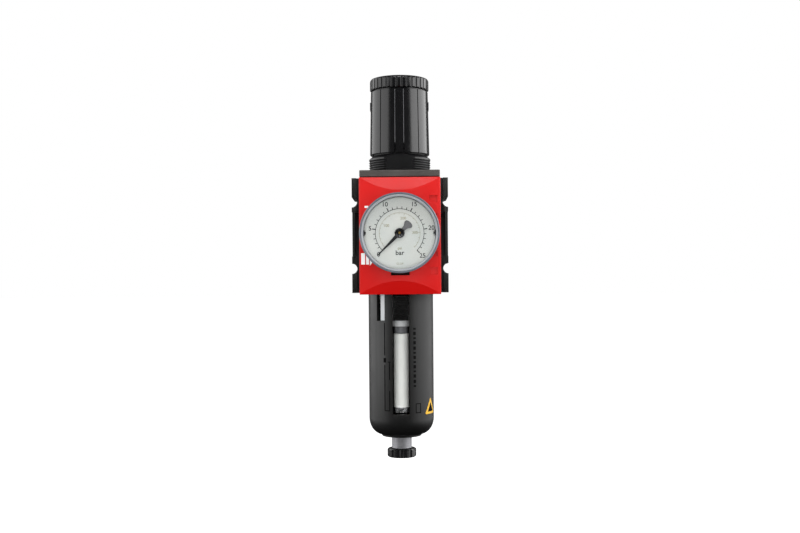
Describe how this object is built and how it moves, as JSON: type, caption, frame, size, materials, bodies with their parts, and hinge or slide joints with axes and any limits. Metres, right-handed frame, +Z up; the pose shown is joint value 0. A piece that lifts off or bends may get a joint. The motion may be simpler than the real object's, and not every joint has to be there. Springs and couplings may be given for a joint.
{
  "type": "air pressure regulator",
  "caption": "Compressed-air filter-regulator: pull-up turning knob, diaphragm valve, round pressure gauge and a guarded filter bowl with a drain.",
  "frame": {"origin": "where the port axis crosses the vertical axis of knob and bowl", "axes": "+X along the port axis towards the outlet, -Y towards the gauge, +Z up towards the knob"},
  "size_m": [0.0644, 0.0916, 0.2585],
  "materials": {
    "black_metal": "satin powder coat",
    "red_cover": "fine moulded, satin",
    "black_plastic": "fine moulded, satin",
    "guard_plastic": "matt moulded",
    "steel": "turned",
    "brass": "turned",
    "rubber": "moulded",
    "grey_plastic": "moulded",
    "dark_grey_plastic": "moulded",
    "filter_white": "sintered, porous",
    "clear_plastic": "clear moulded",
    "dial_white": "matt paint with printed scale",
    "rim_grey": "gloss moulded"
  },
  "bodies": {
    "housing": {"body": "black_metal", "front_cover": "red_cover", "rear_cover": "red_cover", "bonnet": "black_plastic", "gauge_case": "black_plastic", "thrust_washer": "steel", "main_spring": "steel", "valve_spring": "steel", "element_screw": "steel", "tube_link": "steel", "port_plug": "steel", "valve_seat": "brass", "gauge_socket": "brass", "bourdon_tube": "brass", "movement_plates": "brass", "diaphragm": "rubber", "valve_guide_o_ring": "rubber", "gauge_gasket": "rubber", "plug_gasket": "rubber", "swirl_insert": "grey_plastic", "valve_guide": "dark_grey_plastic", "element_retainer": "dark_grey_plastic", "filter_element": "filter_white", "gauge_window": "clear_plastic", "gauge_dial": "dial_white", "gauge_bezel": "rim_grey"},
    "screw": {"adjusting_screw": "steel"},
    "knob": {"knob_barrel": "black_plastic", "knob_grip_ring": "black_plastic", "knob_cap": "black_plastic"},
    "nut": {"adjusting_nut": "brass"},
    "valve": {"diaphragm_plate": "steel", "valve_stem": "steel", "valve_cone": "brass", "valve_seal": "rubber"},
    "bowl_seal": {"bowl_o_ring": "rubber"},
    "bowl_assembly": {"bowl_guard": "guard_plastic", "bowl": "clear_plastic", "lock_spring": "steel", "drain_body": "brass", "drain_o_ring": "rubber", "drain_nut": "steel"},
    "lock": {"lock_slider": "black_plastic"},
    "drain_valve": {"drain_stem": "brass"},
    "drain_grip": {"drain_knob": "black_plastic"},
    "sector": {"sector_gear": "brass"},
    "pointer": {"gauge_pointer": "black_plastic", "pinion_arbor": "brass"}
  },
  "joints": [
    {"name": "spindle_turn", "type": "hinge", "parent": "housing", "child": "screw", "pos_m": [0, 0, 0.09], "axis": [0, 0, -1], "range_deg": [0, 1800]},
    {"name": "knob_pull", "type": "slide", "parent": "screw", "child": "knob", "axis": [0, 0, 1], "range_m": [0, 0.003]},
    {"name": "nut_travel", "type": "slide", "parent": "housing", "child": "nut", "axis": [0, 0, -1], "range_m": [0, 0.0075], "deforming": ["main_spring"]},
    {"name": "valve_lift", "type": "slide", "parent": "housing", "child": "valve", "axis": [0, 0, -1], "range_m": [0, 0.0015], "stiffness_N_per_m": 400, "springref_m": -0.004, "deforming": ["valve_spring", "diaphragm"]},
    {"name": "bowl_drop", "type": "slide", "parent": "housing", "child": "bowl_seal", "axis": [0, 0, -1], "range_m": [0, 0.11]},
    {"name": "guard_turn", "type": "hinge", "parent": "bowl_seal", "child": "bowl_assembly", "pos_m": [0, 0, -0.038], "axis": [0, 0, 1], "range_deg": [0, 45]},
    {"name": "lock_slide", "type": "slide", "parent": "bowl_assembly", "child": "lock", "axis": [0, 0, -1], "range_m": [0, 0.004], "stiffness_N_per_m": 300, "springref_m": -0.002, "deforming": ["lock_spring"]},
    {"name": "drain_travel", "type": "slide", "parent": "bowl_assembly", "child": "drain_valve", "axis": [0, 0, -1], "range_m": [0, 0.0015]},
    {"name": "drain_turn", "type": "hinge", "parent": "drain_valve", "child": "drain_grip", "pos_m": [0, 0, -0.148], "axis": [0, 0, 1], "range_deg": [0, 90]},
    {"name": "sector_swing", "type": "hinge", "parent": "housing", "child": "sector", "pos_m": [0, -0.047, -0.0102], "axis": [0, -1, 0], "range_deg": [0, 36]},
    {"name": "pointer_turn", "type": "hinge", "parent": "housing", "child": "pointer", "pos_m": [0, -0.053, 0], "axis": [0, 1, 0], "range_deg": [0, 270]}
  ],
  "couplings": [
    {"joint": "nut_travel", "follows": "spindle_turn", "m_per_rad": 0.00023873},
    {"joint": "pointer_turn", "follows": "sector_swing", "ratio": 7.5}
  ]
}
